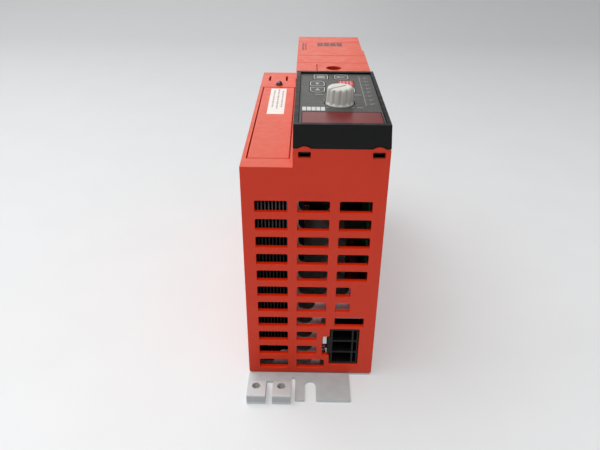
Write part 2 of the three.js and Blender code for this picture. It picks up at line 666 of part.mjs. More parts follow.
// ---------------------------------------------------------------- plug-in headers

// Three stacked cells, each a wide and a narrow pocket, open towards the mouth.
function header(mouthU, inward) {
  const far = mouthU + inward * HEADER_DEPTH;
  const span = (a, b) => [Math.min(a, b), Math.max(a, b)];
  const body = slab(HEADER_X0, HEADER_X1, ...span(mouthU, far), HEADER_Z0, HEADER_Z1);
  const lug = slab(HEADER_X0 - 1.9, HEADER_X0 + 1, ...span(mouthU, mouthU + inward * 9), 18, 31.6);
  const cell = (HEADER_Z1 - HEADER_Z0 - 1.2) / POLES;
  const pockets = [];
  for (let i = 0; i < POLES; i += 1) {
    const z0 = HEADER_Z0 + 1.2 + i * cell;
    const depth = span(mouthU - inward, mouthU + inward * (HEADER_DEPTH - 2));
    pockets.push(slab(HEADER_X0 + 1.4, HEADER_X0 + 13.4, ...depth, z0, z0 + cell - 1.2));
    pockets.push(slab(HEADER_X0 + 14.6, HEADER_X1 - 0.9, ...depth, z0, z0 + cell - 1.2));
    pockets.push(slab(HEADER_X0 + 5.6, HEADER_X0 + 9, ...span(mouthU, far + inward), z0 + 3.2, z0 + 4.8));
  }
  return cut(join(body, lug), ...pockets);
}

const HEADERS = [
  { name: 'mains', mouth: HEADER_INSET, inward: 1 },
  { name: 'motor', mouth: SHELL_LENGTH - HEADER_INSET, inward: -1 },
];
for (const { name, mouth, inward } of HEADERS) {
  add(`${name}_header`, header(mouth, inward), BLACK, 0.5);
  const cell = (HEADER_Z1 - HEADER_Z0 - 1.2) / POLES;
  for (let i = 0; i < POLES; i += 1) {
    const z = HEADER_Z0 + 1.2 + i * cell + 4;
    const u = [mouth + inward * PIN_INSET, mouth + inward * (HEADER_DEPTH + 3)].sort((a, b) => a - b);
    const blade = slab(HEADER_X0 + 5.9, HEADER_X0 + 8.7, ...u, z - 0.5, z + 0.5);
    add(`${name}_pin_${i + 1}`, blade, TIN, 0.35, 0.9);
  }
}

// ---------------------------------------------------------------- power electronics

const POWER_BOARD_X = 32.4;
add('power_board', slab(POWER_BOARD_X, POWER_BOARD_X + 1.6, 18, 218, 6, 136), BOARD_GREEN, 0.5);

// Cans lie with their leads towards the board.
const CAN_R = 12.5;
const CAN_LENGTH = 34;
[62, 90, 118].forEach((u, i) => {
  const profile = [
    [0, 0], [CAN_R - 2, 0], [CAN_R - 2, 0.6], [CAN_R - 0.8, 0.6], [CAN_R, 1.6], [CAN_R, CAN_LENGTH - 4],
    [CAN_R - 0.8, CAN_LENGTH - 3], [CAN_R, CAN_LENGTH - 2], [CAN_R, CAN_LENGTH], [0, CAN_LENGTH],
  ];
  const x0 = POWER_BOARD_X - GAP - CAN_LENGTH;
  add(`link_capacitor_${i + 1}`, turnedX(profile, x0, u, 104), 0x23344f, 0.4);
});

const chokeRing = new THREE.TorusGeometry(10, 4.6, 8, 20).rotateY(Math.PI / 2);
add('mains_choke', chokeRing.translate(POWER_BOARD_X - GAP - 4.7, NEAR_Y + 42, 62), 0x9a5a2a, 0.45, 0.4);

add('power_module', slab(SINK_WALL_X + GAP, SINK_WALL_X + 6, 70, 126, 44, 76), BLACK, 0.5);
add('relay', slab(17, POWER_BOARD_X - GAP, 150, 176, 60, 76), 0xd9a441, 0.4);
add('filter_capacitor', slab(7.5, 10.1, 0.9, 22, 25.8, 32.1), 0xe4e2dc, 0.5);

// ---------------------------------------------------------------- fan

const FAN_X = FAN_X0 + FAN_SIZE / 2;
const FAN_Z = FAN_Z0 + FAN_SIZE / 2;
const FAN_BORE_R = 18.6;

// Disc with its axis along Y.
function drumY(radius, u0, u1, segments = 32) {
  const drum = new THREE.CylinderGeometry(radius, radius, u1 - u0, segments);
  return drum.translate(FAN_X, NEAR_Y + (u0 + u1) / 2, FAN_Z);
}

function fanFrame() {
  const block = slab(FAN_X0, FAN_X0 + FAN_SIZE, FAN_U0, FAN_U0 + FAN_DEPTH, FAN_Z0, FAN_Z0 + FAN_SIZE);
  const bossEnd = FAN_U0 + FAN_DEPTH;
  const ribs = [45, 135].map((turn) => {
    const rib = new THREE.BoxGeometry(2 * FAN_BORE_R + 2, 1.6, 1.6);
    rib.rotateY(THREE.MathUtils.degToRad(turn));
    return rib.translate(FAN_X, NEAR_Y + bossEnd - 0.8, FAN_Z);
  });
  const bored = cut(block, drumY(FAN_BORE_R, FAN_U0 - 1, bossEnd + 1));
  return join(bored, drumY(8, bossEnd - 2, bossEnd), ...ribs);
}
add('fan_frame', fanFrame(), BLACK, 0.5);

function fanRotor() {
  const u0 = FAN_U0 + 2;
  const u1 = FAN_U0 + FAN_DEPTH - 3.5;
  const blades = [];
  for (let i = 0; i < 7; i += 1) {
    const blade = new THREE.BoxGeometry(11.6, 13.5, 0.9);
    blade.rotateX(THREE.MathUtils.degToRad(38)).translate(12, 0, 0);
    blade.rotateY((i / 7) * 2 * Math.PI);
    blades.push(blade.translate(FAN_X, NEAR_Y + (u0 + u1) / 2, FAN_Z));
  }
  return join(drumY(8, u0, u1), ...blades);
}
add('fan_rotor', fanRotor(), 0x242426, 0.5);

export default drive;
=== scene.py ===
"""Compact motor drive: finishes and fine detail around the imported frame, on a plain pale floor."""
import json
import math
import random

import bmesh
import bpy
from mathutils import Matrix, Vector
from mathutils.bvhtree import BVHTree


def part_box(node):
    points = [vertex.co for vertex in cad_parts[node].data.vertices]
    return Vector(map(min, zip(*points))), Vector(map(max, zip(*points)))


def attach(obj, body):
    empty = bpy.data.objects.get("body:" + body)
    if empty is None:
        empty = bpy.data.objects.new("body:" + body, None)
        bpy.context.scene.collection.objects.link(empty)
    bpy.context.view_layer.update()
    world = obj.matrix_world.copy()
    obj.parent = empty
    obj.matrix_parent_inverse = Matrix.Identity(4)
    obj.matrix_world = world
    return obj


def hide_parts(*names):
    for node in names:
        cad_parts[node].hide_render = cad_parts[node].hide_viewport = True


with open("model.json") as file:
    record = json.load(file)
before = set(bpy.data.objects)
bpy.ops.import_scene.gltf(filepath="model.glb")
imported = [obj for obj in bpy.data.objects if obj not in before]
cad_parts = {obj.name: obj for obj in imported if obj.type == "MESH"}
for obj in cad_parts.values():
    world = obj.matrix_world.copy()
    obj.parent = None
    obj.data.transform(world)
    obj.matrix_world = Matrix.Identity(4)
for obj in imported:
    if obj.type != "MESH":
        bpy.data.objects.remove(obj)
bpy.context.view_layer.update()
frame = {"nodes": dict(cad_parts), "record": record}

NODES = frame["nodes"]
MM = 0.001


# ---- places taken from the frame, in millimetres

def extent(node):
    """Lowest and highest corner of a CAD node in millimetres."""
    low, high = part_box(node)
    return low / MM, high / MM


SHELL_LOW, SHELL_HIGH = extent("main_shell")
# Places given as NEAR + u lie u millimetres behind the near face of the housing.
NEAR = SHELL_LOW.y
FAR = extent("extension_shell")[1].y
NEAR_WALL = 3.2
FAR_WALL = 2.5
LOW_STEP = extent("blank_label")[1].z
FRAME_FOOT = extent("keypad_frame")[0].z
FILM = extent("keypad_membrane")[1].z
KNOB_LOW, KNOB_HIGH = extent("knob")
KNOB_CENTRE = (KNOB_LOW + KNOB_HIGH) / 2
LENS_LOW, LENS_HIGH = extent("status_lens")
LENS_CENTRE = (LENS_LOW + LENS_HIGH) / 2
LENS_R = (LENS_HIGH.x - LENS_LOW.x) / 2


# ---- materials

def rgb(red, green, blue):
    """Linear colour from 0..255 display values."""
    def linear(value):
        value /= 255
        return value / 12.92 if value <= 0.04045 else ((value + 0.055) / 1.055) ** 2.4
    return (linear(red), linear(green), linear(blue), 1)


class Finish:
    """A node material on one Principled shader. Sizes are millimetres on the object."""

    def __init__(self, name, colour, roughness, metallic=0.0):
        self.material = bpy.data.materials.new(name)
        self.material.use_nodes = True
        self.tree = self.material.node_tree
        self.shader = self.tree.nodes["Principled BSDF"]
        self.colour = colour
        self.painted = colour
        self.shader.inputs["Base Color"].default_value = colour
        self.shader.inputs["Roughness"].default_value = roughness
        self.shader.inputs["Metallic"].default_value = metallic
        self.place = self.tree.nodes.new("ShaderNodeTexCoord").outputs["Object"]
        self.bumped = None

    def link(self, value, socket):
        """Feeds a socket from another socket or a constant."""
        if hasattr(value, "is_linked"):
            self.tree.links.new(value, socket)
        else:
            socket.default_value = value

    def maths(self, operation, first, second=0.0):
        node = self.tree.nodes.new("ShaderNodeMath")
        node.operation = operation
        self.link(first, node.inputs[0])
        self.link(second, node.inputs[1])
        return node.outputs[0]

    def axis(self, letter):
        """Position along one axis of the frame, in metres."""
        node = self.tree.nodes.new("ShaderNodeSeparateXYZ")
        self.link(self.place, node.inputs[0])
        return node.outputs[letter]

    def facing(self, letter):
        """How far the surface is turned towards one axis."""
        node = self.tree.nodes.new("ShaderNodeSeparateXYZ")
        self.link(self.tree.nodes.new("ShaderNodeNewGeometry").outputs["Normal"], node.inputs[0])
        return node.outputs[letter]

    def noise(self, feature, detail=2.0, stretch=(1, 1, 1), seed=0.0):
        """Soft noise of a feature size, drawn out along the axes by the stretch."""
        mapping = self.tree.nodes.new("ShaderNodeMapping")
        self.link(self.place, mapping.inputs["Vector"])
        mapping.inputs["Location"].default_value = (seed, seed * 0.7, seed * 1.3)
        mapping.inputs["Scale"].default_value = [1 / s for s in stretch]
        node = self.tree.nodes.new("ShaderNodeTexNoise")
        self.link(mapping.outputs[0], node.inputs["Vector"])
        node.inputs["Scale"].default_value = 1 / (feature * MM)
        node.inputs["Detail"].default_value = detail
        return node.outputs["Fac"]

    def ramp(self, value, low, high, from_value=0.0, to_value=1.0):
        """Maps low..high of a value to from_value..to_value, held beyond both ends."""
        node = self.tree.nodes.new("ShaderNodeMapRange")
        self.link(value, node.inputs["Value"])
        node.inputs["From Min"].default_value = low
        node.inputs["From Max"].default_value = high
        node.inputs["To Min"].default_value = from_value
        node.inputs["To Max"].default_value = to_value
        return node.outputs["Result"]

    def mix(self, factor, first, second):
        node = self.tree.nodes.new("ShaderNodeMix")
        node.data_type = "RGBA"
        self.link(factor, node.inputs["Factor"])
        self.link(first, node.inputs["A"])
        self.link(second, node.inputs["B"])
        return node.outputs["Result"]

    def mottle(self, feature, share, detail=3.0):
        """Colour wanders by a share of itself, up and down."""
        darker = [c * (1 - share) for c in self.colour[:3]] + [1]
        lighter = [min(1, c * (1 + share)) for c in self.colour[:3]] + [1]
        patch = self.ramp(self.noise(feature, detail), 0.3, 0.7)
        return self.paint(self.mix(patch, darker, lighter))

    def tint(self, factor, colour):
        """Lays another colour over what is there, where the factor says."""
        return self.paint(self.mix(factor, self.painted, colour))

    def paint(self, colour):
        self.painted = colour
        self.link(colour, self.shader.inputs["Base Color"])
        return self

    def polish(self, feature, low, high, stretch=(1, 1, 1)):
        """Roughness wanders between two values."""
        value = self.ramp(self.noise(feature, 3.0, stretch, 0.3), 0.3, 0.7, low, high)
        self.link(value, self.shader.inputs["Roughness"])
        return self

    def relief(self, height, depth):
        """Adds a bump of a depth in millimetres, on top of any laid before."""
        node = self.tree.nodes.new("ShaderNodeBump")
        node.inputs["Strength"].default_value = 1.0
        node.inputs["Distance"].default_value = depth * MM
        self.link(height, node.inputs["Height"])
        if self.bumped is not None:
            self.link(self.bumped, node.inputs["Normal"])
        self.bumped = node.outputs["Normal"]
        self.link(self.bumped, self.shader.inputs["Normal"])
        return self

    def grain(self, feature, depth, detail=2.0):
        return self.relief(self.noise(feature, detail), depth)

    def set(self, **values):
        """Sets shader sockets by name, with _ for each space."""
        for name, value in values.items():
            self.shader.inputs[name.replace("_", " ")].default_value = value
        return self


def moulded(name, colour, roughness, grain=0.35, depth=0.012, share=0.04, flow=0.01):
    """Spark-textured moulded plastic with faint flow marks."""
    finish = Finish(name, colour, roughness)
    finish.mottle(28, share)
    finish.polish(5, roughness - 0.06, roughness + 0.07)
    finish.grain(grain, depth)
    finish.relief(finish.noise(9, 1.0, (1, 1, 1), 2.0), flow)
    return finish


def orange_shell():
    """Orange housing plastic, with a painted sheen that pales the faces turned upwards and a painted glow
    on the upward faces inside the vents.
    """
    finish = moulded("orange_shell", rgb(214, 48, 6), 0.42, 0.4, 0.003, 0.03, 0.001)
    scuff = finish.ramp(finish.noise(0.8, 4.0, (1, 14, 1), 5.0), 0.66, 0.74, 0.0, 0.05)
    finish.tint(scuff, rgb(228, 104, 84))
    # Painted sheen: faces turned upwards are tinted paler, standing in for reflected light.
    upward = finish.ramp(finish.facing("Z"), 0.6, 0.98)
    finish.tint(finish.maths("MULTIPLY", upward, 0.12), rgb(240, 190, 150))
    # Painted glow: upward faces within the near wall, below 140 millimetres, are tinted brighter and given
    # a faint emission, standing in for light on the vent ledges.
    inside = NEAR + NEAR_WALL
    in_wall = finish.ramp(finish.axis("Y"), (inside + 0.2) * MM, (inside + 0.6) * MM, 1.0, 0.0)
    below = finish.ramp(finish.axis("Z"), 140 * MM, 145 * MM, 1.0, 0.0)
    painted_vent_glow = finish.maths("MULTIPLY", finish.maths("MULTIPLY", upward, in_wall), below)
    finish.tint(painted_vent_glow, rgb(236, 50, 8))
    # The emission set below is the painted glow on the vent ledges.
    finish.set(Emission_Color=rgb(255, 40, 0), Specular_IOR_Level=0.38)
    finish.link(finish.maths("MULTIPLY", painted_vent_glow, 0.1), finish.shader.inputs["Emission Strength"])
    return finish


def zinc_plate():
    """Zinc-plated sheet, with a coarser cast skin on the raised terminal blocks and painted shade on their
    front faces.
    """
    finish = Finish("zinc_plate", rgb(196, 203, 204), 0.55, 0.1)
    finish.mottle(7, 0.05)
    finish.polish(3, 0.48, 0.62)
    blocks = finish.ramp(finish.axis("Z"), 1.9 * MM, 2.3 * MM)
    upward = finish.ramp(finish.facing("Z"), 0.3, 0.9)
    # Painted light and shade: the blocks' tops are tinted lighter than their front faces.
    finish.tint(blocks, finish.mix(upward, rgb(176, 178, 179), rgb(206, 208, 209)))
    pits = finish.ramp(finish.noise(0.7, 3.0), 0.58, 0.78, 0.0, 0.35)
    finish.tint(finish.maths("MULTIPLY", blocks, pits), rgb(120, 122, 124))
    finish.relief(finish.maths("MULTIPLY", finish.noise(0.9, 4.0), blocks), 0.12)
    finish.relief(finish.noise(0.3, 2.0, (1, 6, 1)), 0.006)
    return finish


def aluminium():
    """Extruded fins with die lines along their length, with painted shade that leaves them near black low
    down and lighter near the top.
    """
    finish = Finish("aluminium", rgb(24, 20, 21), 0.5, 0.5)
    finish.mottle(12, 0.06)
    # Painted shade: the fins are tinted lighter towards the top and near black lower down.
    finish.tint(finish.ramp(finish.axis("Z"), 96 * MM, 126 * MM), rgb(112, 104, 106))
    finish.polish(0.6, 0.32, 0.5, (1, 60, 1))
    finish.relief(finish.noise(0.4, 2.0, (1, 80, 1)), 0.02)
    return finish


def board_green():
    """Solder resist over copper, whose tracks show as a grid of lighter lines."""
    finish = Finish("board_green", rgb(24, 84, 50), 0.35)
    finish.mottle(14, 0.08)
    tracks = finish.tree.nodes.new("ShaderNodeTexBrick")
    finish.link(finish.place, tracks.inputs["Vector"])
    tracks.inputs["Scale"].default_value = 1 / (7 * MM)
    tracks.inputs["Mortar Size"].default_value = 0.04
    tracks.inputs["Mortar Smooth"].default_value = 0.1
    finish.tint(finish.maths("MULTIPLY", tracks.outputs["Fac"], 0.5), rgb(56, 128, 74))
    finish.relief(tracks.outputs["Fac"], 0.03)
    return finish


def plain(name, colour, roughness, metallic=0.0, feature=6, share=0.06, grain=0.4, depth=0.008):
    """Small moulded or plated part."""
    finish = Finish(name, colour, roughness, metallic)
    finish.mottle(feature, share)
    finish.polish(feature / 2, max(0.05, roughness - 0.06), roughness + 0.06)
    return finish.grain(grain, depth)


FINISHES = {
    "orange_shell": orange_shell(),
    "zinc_plate": zinc_plate(),
    "aluminium": aluminium(),
    "sheet_steel": Finish("sheet_steel", rgb(206, 200, 204), 0.5, 0.4)
    .mottle(5, 0.1).polish(4, 0.36, 0.52).grain(0.5, 0.01),
    "label_white": Finish("label_white", rgb(238, 236, 230), 0.55).mottle(9, 0.02).grain(0.5, 0.008, 3.0),
    "lens_smoke": plain("lens_smoke", rgb(70, 56, 72), 0.12, 0, 3, 0.1, 0.6, 0.004),
    "keypad_black": moulded("keypad_black", rgb(10, 10, 11), 0.46, 0.3, 0.014),
    "black_plastic": moulded("black_plastic", rgb(15, 16, 17), 0.44, 0.3, 0.01),
    "latch_grey": moulded("latch_grey", rgb(64, 64, 65), 0.5, 0.3, 0.01),
    # Printed film: a fine even tooth and a soft sheen.
    "membrane_grey": Finish("membrane_grey", rgb(68, 68, 66), 0.5)
    .mottle(16, 0.04).polish(2.5, 0.44, 0.54).grain(0.16, 0.006, 1.0),
    "key_red": plain("key_red", rgb(196, 44, 46), 0.48, 0, 8, 0.05, 0.16, 0.006),
    "window_red": Finish("window_red", rgb(112, 18, 22), 0.34)
    .mottle(22, 0.05).polish(12, 0.32, 0.36).grain(0.2, 0.001, 1.0),
    "display_dark": plain("display_dark", rgb(40, 18, 18), 0.3),
    "board_green": board_green(),
    "tinned_metal": Finish("tinned_metal", rgb(205, 202, 195), 0.32, 0.95)
    .mottle(1.5, 0.08).polish(0.7, 0.24, 0.42).grain(0.3, 0.008),
    "knob_ivory": moulded("knob_ivory", rgb(208, 207, 200), 0.44, 0.4, 0.008, 0.03),
    "pot_blue": plain("pot_blue", rgb(60, 76, 96), 0.4),
    "terminal_green": plain("terminal_green", rgb(40, 112, 74), 0.42),
    "switch_red": plain("switch_red", rgb(160, 40, 34), 0.4),
    # Dark shrink sleeve, a little rumpled.
    "capacitor_sleeve": Finish("capacitor_sleeve", rgb(14, 12, 15), 0.34)
    .mottle(8, 0.08).polish(3, 0.25, 0.36).grain(1.2, 0.02),
    "choke_copper": Finish("choke_copper", rgb(116, 54, 26), 0.35, 0.7)
    .mottle(2, 0.12).polish(1.2, 0.22, 0.38),
    "relay_amber": plain("relay_amber", rgb(216, 160, 70), 0.3),
    "component_white": plain("component_white", rgb(226, 224, 216), 0.45),
    # Finishes below are used only on detail that has no CAD node.
    "print_white": plain("print_white", rgb(206, 206, 204), 0.5, 0, 5, 0.04, 0.2, 0.004),
    "print_grey": plain("print_grey", rgb(150, 150, 147), 0.5, 0, 5, 0.06, 0.2, 0.004),
    "print_pink": plain("print_pink", rgb(222, 150, 148), 0.5, 0, 5, 0.04, 0.2, 0.004),
    "print_dark": plain("print_dark", rgb(112, 60, 58), 0.5, 0, 5, 0.05, 0.2, 0.004),
    "print_label": plain("print_label", rgb(168, 168, 170), 0.5, 0, 2, 0.08, 0.2, 0.004),
    "chip_black": plain("chip_black", rgb(34, 34, 36), 0.5, 0, 3, 0.08, 0.25, 0.01),
    "chip_tan": plain("chip_tan", rgb(158, 132, 96), 0.45, 0, 2, 0.1, 0.2, 0.006),
    "resistor_brown": plain("resistor_brown", rgb(120, 34, 62), 0.35, 0, 1, 0.1, 0.3, 0.01),
    "can_aluminium": plain("can_aluminium", rgb(200, 201, 203), 0.34, 0.95, 4, 0.05, 0.6, 0.008),
    "ferrite": plain("ferrite", rgb(52, 50, 50), 0.6, 0, 2, 0.1, 0.4, 0.03),
}
FINISHES["lens_smoke"].set(Coat_Weight=1.0)
FINISHES["keypad_black"].set(Specular_IOR_Level=0.22)
FINISHES["black_plastic"].set(Specular_IOR_Level=0.28)
FINISHES["window_red"].set(Specular_IOR_Level=0.3)


def skin(name):
    return FINISHES[name].material


# ---- carried-over CAD nodes

# Edge rounding in millimetres where a node differs from the usual.
USUAL_EDGE = 0.25
EDGES = {
    "mounting_plate": 0.14, "keypad_frame": 0.45, "keypad_membrane": 0.1, "display_window": 0.1,
    "heat_sink": 0.15, "inner_sheet": 0.15, "blank_label": 0.05, "mains_header": 0.18,
    "motor_header": 0.18, "fan_frame": 0.4, "power_module": 0.5, "relay": 0.5,
}
CORNER_ANGLE = math.radians(42)
# Nodes whose pierced faces shade wrongly once their facets are joined.
PIERCED = ("mains_header", "motor_header")


def soften(node, edge):
    """Joins the flat facets, rounds the sharp edges and shades the result smoothly."""
    mesh = node.data
    for name in ("custom_normal", "sharp_face", "sharp_edge"):
        if name in mesh.attributes:
            mesh.attributes.remove(mesh.attributes[name])
    mesh.polygons.foreach_set("use_smooth", [True] * len(mesh.polygons))
    weld = node.modifiers.new("weld", "WELD")
    weld.merge_threshold = 0.004 * MM
    if node.name not in PIERCED:
        flat = node.modifiers.new("flat", "DECIMATE")
        flat.decimate_type = "DISSOLVE"
        flat.angle_limit = math.radians(1.0)
    bevel = node.modifiers.new("edges", "BEVEL")
    bevel.width = edge * MM
    bevel.segments = 3
    bevel.limit_method = "ANGLE"
    bevel.angle_limit = CORNER_ANGLE
    bevel.use_clamp_overlap = True
    bevel.miter_outer = "MITER_ARC"
    normals = node.modifiers.new("normals", "WEIGHTED_NORMAL")
    normals.weight = 80
    normals.keep_sharp = True


def finish_nodes():
    """Gives each CAD node the finish of its material slot and eased edges."""
    for row in frame["record"]["subparts"]:
        node = NODES[row["node"]]
        node.data.materials.clear()
        node.data.materials.append(skin(row["material_slot"]))
        soften(node, EDGES.get(row["node"], USUAL_EDGE))


finish_nodes()


# ---- mesh toolkit for new pieces

class Piece:
    """Gathers shapes given in millimetres of the frame into one object."""

    def __init__(self):
        self.mesh = bmesh.new()

    def box(self, low, high, edge=0.0, segments=2, turn=None, skin_index=0):
        """Box between two corners, with rounded edges. turn is a matrix about its centre."""
        low, high = Vector(low), Vector(high)
        made = bmesh.ops.create_cube(self.mesh, size=1)["verts"]
        size = high - low
        spin = turn or Matrix.Identity(4)
        place = Matrix.Translation((low + high) / 2) @ spin @ Matrix.Diagonal((*size, 1))
        bmesh.ops.transform(self.mesh, matrix=place, verts=made)
        edges = list({e for v in made for e in v.link_edges})
        faces = {f for v in made for f in v.link_faces}
        if edge:
            cut = bmesh.ops.bevel(self.mesh, geom=edges, offset=edge, segments=segments,
                                  profile=0.5, affect="EDGES", clamp_overlap=True)
            faces = {f for f in faces if f.is_valid} | set(cut["faces"])
        for face in faces:
            face.material_index = skin_index
        return self

    def loft(self, rings, close_ends=True, skin_index=0):
        """Skins closed rings of points, one after another."""
        rows = [[self.mesh.verts.new(point) for point in ring] for ring in rings]
        for lower, upper in zip(rows, rows[1:]):
            for i, corner in enumerate(lower):
                j = (i + 1) % len(lower)
                self.mesh.faces.new((corner, lower[j], upper[j], upper[i])).material_index = skin_index
        if close_ends:
            self.mesh.faces.new(rows[0][::-1]).material_index = skin_index
            self.mesh.faces.new(rows[-1]).material_index = skin_index
        return self

    def turned(self, centre, profile, axis="Z", steps=32, skin_index=0):
        """Turned shape from (radius, distance) pairs along an axis through the centre."""
        rings = []
        for radius, along in profile:
            ring = []
            for k in range(steps):
                angle = 2 * math.pi * k / steps
                a, b = radius * math.cos(angle), radius * math.sin(angle)
                offset = {"X": (along, a, b), "Y": (b, along, a), "Z": (a, b, along)}[axis]
                ring.append(Vector(centre) + Vector(offset))
            rings.append(ring)
        return self.loft(rings, True, skin_index)

    def plate(self, outline, low, high, skin_index=0):
        """Flat shape drawn in (x, y), raised from one height to another."""
        return self.loft([[(x, y, z) for x, y in outline] for z in (low, high)], True, skin_index)

    def band(self, outer, inner, low, high, skin_index=0):
        """Closed flat ring between two outlines of as many points each."""
        rows = [[self.mesh.verts.new((x, y, z)) for x, y in ring]
                for ring, z in ((outer, low), (outer, high), (inner, high), (inner, low))]
        for first, second in zip(rows, rows[1:] + rows[:1]):
            for i, corner in enumerate(first):
                j = (i + 1) % len(first)
                self.mesh.faces.new((corner, first[j], second[j], second[i])).material_index = skin_index
        return self

    def tube(self, path, radius, steps=10, closed=False, skin_index=0):
        """Round wire along points."""
        path = [Vector(p) for p in path]
        count = len(path)
        rings = []
        side = None
        for i, point in enumerate(path):
            before = path[i - 1] if i or closed else point
            after = path[(i + 1) % count] if i < count - 1 or closed else point
            way = (after - before).normalized()
            if side is None:
                side = way.orthogonal().normalized()
            side = (side - way * side.dot(way)).normalized()
            other = way.cross(side)
            rings.append([
                point + radius * (math.cos(a) * side + math.sin(a) * other)
                for a in (2 * math.pi * k / steps for k in range(steps))
            ])
        if closed:
            rings.append(rings[0])
        return self.loft(rings, not closed, skin_index)

    def finish(self, name, body, *skins, slot=None, replaces=(), smooth=40):
        """Turns the gathered shapes into an object in metres that rides on a body."""
        bmesh.ops.remove_doubles(self.mesh, verts=self.mesh.verts, dist=1e-4)
        bmesh.ops.recalc_face_normals(self.mesh, faces=self.mesh.faces)
        bmesh.ops.scale(self.mesh, vec=(MM, MM, MM), verts=self.mesh.verts)
        mesh = bpy.data.meshes.new(name)
        self.mesh.to_mesh(mesh)
        self.mesh.free()
        mesh.polygons.foreach_set("use_smooth", [True] * len(mesh.polygons))
        mesh.set_sharp_from_angle(angle=math.radians(smooth))
        for one in skins:
            mesh.materials.append(skin(one))
        piece = bpy.data.objects.new(name, mesh)
        bpy.context.scene.collection.objects.link(piece)
        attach(piece, body)
        if replaces:
            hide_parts(*replaces)
        return piece


def rounded(x0, x1, y0, y1, radii, steps=5):
    """Rounded rectangle; radii run near right, far right, far left, near left."""
    if not isinstance(radii, (tuple, list)):
        radii = (radii,) * 4
    corners = [(x1, y0, -90, -1, 1), (x1, y1, 0, -1, -1), (x0, y1, 90, 1, -1), (x0, y0, 180, 1, 1)]
    points = []
    for (x, y, start, sx, sy), radius in zip(corners, radii):
        for k in range(steps + 1):
            angle = math.radians(start + 90 * k / steps)
            reach_x, reach_y = radius * math.cos(angle), radius * math.sin(angle)
            points.append((x + sx * radius + reach_x, y + sy * radius + reach_y))
    return points


# ---- shells with clean rounded faces

# Faces and corners closer together than this, in millimetres, count as in one place.
SAME_PLACE = 0.01


def flat_planes(mesh, axis, least_area):
    """Places along an axis, in millimetres, where the mesh has enough flat face square to it."""
    areas = {}
    for face in mesh.polygons:
        if abs(face.normal[axis]) > 0.9999:
            place = round(face.center[axis] / MM, 2)
            areas[place] = areas.get(place, 0) + face.area / MM ** 2
    return sorted(place for place, area in areas.items() if area > least_area)


def crossings(tree, x, z, start):
    """Places where a line along Y passes a face square to it, so round holes are passed over."""
    found = []
    origin = Vector((x, start, z))
    while True:
        hit, normal = tree.ray_cast(origin, Vector((0, 1, 0)))[:2]
        if hit is None:
            return found
        square = abs(normal.y) > 0.999
        if square and (not found or hit.y - found[-1] > SAME_PLACE):
            found.append(hit.y)
        origin = hit + Vector((0, SAME_PLACE / 2, 0))


def block_mesh(node, least_area):
    """Rebuilds a square-cornered CAD node from the blocks between its flat planes, as clean quads."""
    source = node.data
    planes = [flat_planes(source, axis, least_area) for axis in range(3)]
    tree = BVHTree.FromPolygons(
        [v.co / MM for v in source.vertices], [list(f.vertices) for f in source.polygons]
    )
    # The rays run a little off the middle of each block, clear of its own edges.
    nudge = 0.013
    spans = [list(zip(places, places[1:])) for places in planes]
    filled = set()
    for i, (x0, x1) in enumerate(spans[0]):
        for k, (z0, z1) in enumerate(spans[2]):
            passes = crossings(tree, (x0 + x1) / 2 + nudge, (z0 + z1) / 2 + nudge, planes[1][0] - 5)
            for j, (y0, y1) in enumerate(spans[1]):
                if sum(place < (y0 + y1) / 2 for place in passes) % 2:
                    filled.add((i, j, k))
    mesh = bmesh.new()
    corners = {}

    def corner(index):
        if index not in corners:
            corners[index] = mesh.verts.new([planes[a][index[a]] for a in range(3)])
        return corners[index]

    for cell in filled:
        for axis in range(3):
            for side in (0, 1):
                beside = list(cell)
                beside[axis] += 2 * side - 1
                if tuple(beside) in filled:
                    continue
                a, b = (axis + 1) % 3, (axis + 2) % 3
                loop = []
                for da, db in ((0, 0), (1, 0), (1, 1), (0, 1)):
                    index = list(cell)
                    index[axis] += side
                    index[a] += da
                    index[b] += db
                    loop.append(corner(tuple(index)))
                mesh.faces.new(loop if side else loop[::-1])
    mesh.normal_update()
    merge_strips(mesh)
    return mesh


def merge_strips(mesh):
    """Joins coplanar quads into strips, then strips of one length into larger rectangles."""
    def flat_edges():
        for edge in mesh.edges:
            if len(edge.link_faces) == 2:
                first, second = edge.link_faces
                if first.normal.dot(second.normal) > 0.999:
                    yield edge, first, second

    def runs(edge):
        way = edge.verts[1].co - edge.verts[0].co
        return max(range(3), key=lambda a: abs(way[a]))

    # Edge direction taken out first, for faces square to X, Y and Z.
    first_out = {0: 2, 1: 2, 2: 1}

    def facing(face):
        return max(range(3), key=lambda a: abs(face.normal[a]))

    out = [e for e, first, second in flat_edges() if runs(e) == first_out[facing(first)]]
    bmesh.ops.dissolve_edges(mesh, edges=out, use_verts=False)
    for _ in range(3):
        out = []
        for edge, first, second in flat_edges():
            along = runs(edge)
            reach = [(min(v.co[along] for v in f.verts), max(v.co[along] for v in f.verts))
                     for f in (first, second)]
            if all(abs(p - q) < SAME_PLACE for p, q in zip(*reach)):
                out.append(edge)
        bmesh.ops.dissolve_edges(mesh, edges=out, use_verts=False)
    spare = []
    for vert in mesh.verts:
        if len(vert.link_edges) == 2:
            ways = [(e.other_vert(vert).co - vert.co).normalized() for e in vert.link_edges]
            if ways[0].dot(ways[1]) < -0.999:
                spare.append(vert)
    bmesh.ops.dissolve_verts(mesh, verts=spare)


